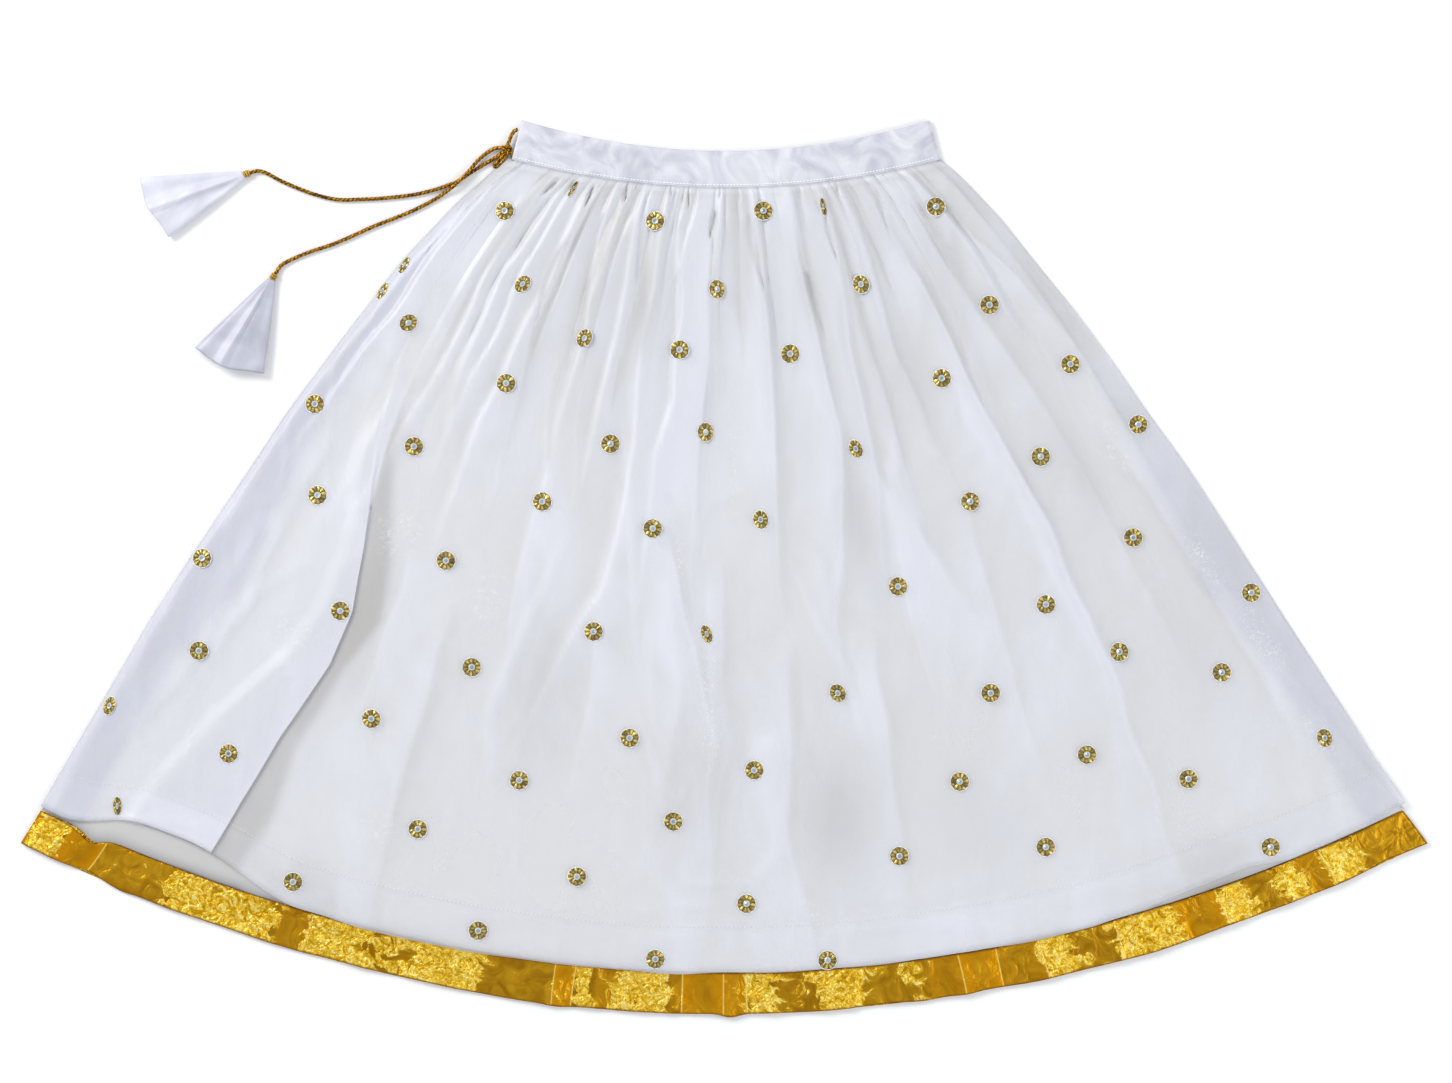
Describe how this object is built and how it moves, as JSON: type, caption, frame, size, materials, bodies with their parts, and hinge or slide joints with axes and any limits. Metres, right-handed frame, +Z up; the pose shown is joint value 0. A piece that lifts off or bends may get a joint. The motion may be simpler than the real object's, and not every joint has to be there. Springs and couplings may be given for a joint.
{
  "type": "lehenga",
  "caption": "Child's gathered lehenga skirt laid flat: sheer flower-dotted overskirt on a plain underskirt with a gold border, satin waistband and tasselled drawstring.",
  "frame": {"origin": "on the surface that the laid skirt rests on, at the middle of the footprint of the skirt without its drawstring", "axes": "+X to the right of the laid skirt, along its hem; +Y from hem to waist; +Z up from the surface"},
  "size_m": [1.096, 0.696, 0.0134],
  "materials": {
    "organza": "sheer",
    "lining": "matte",
    "satin": "satin",
    "gold_tissue": "metallic",
    "gold_cord": "metallic",
    "gold_bead": "satin"
  },
  "bodies": {
    "root": {"waistband": "satin", "overskirt_front": "organza", "overskirt_back": "organza", "underskirt_front": "lining", "underskirt_back": "lining", "border_front": "gold_tissue", "border_back": "gold_tissue", "tie_strand": "gold_cord", "tie_loop": "gold_cord", "knot": "gold_cord", "cord_upper": "gold_cord", "cord_lower": "gold_cord", "bead_upper": "gold_bead", "bead_lower": "gold_bead", "tassel_upper": "satin", "tassel_lower": "satin"}
  },
  "joints": []
}
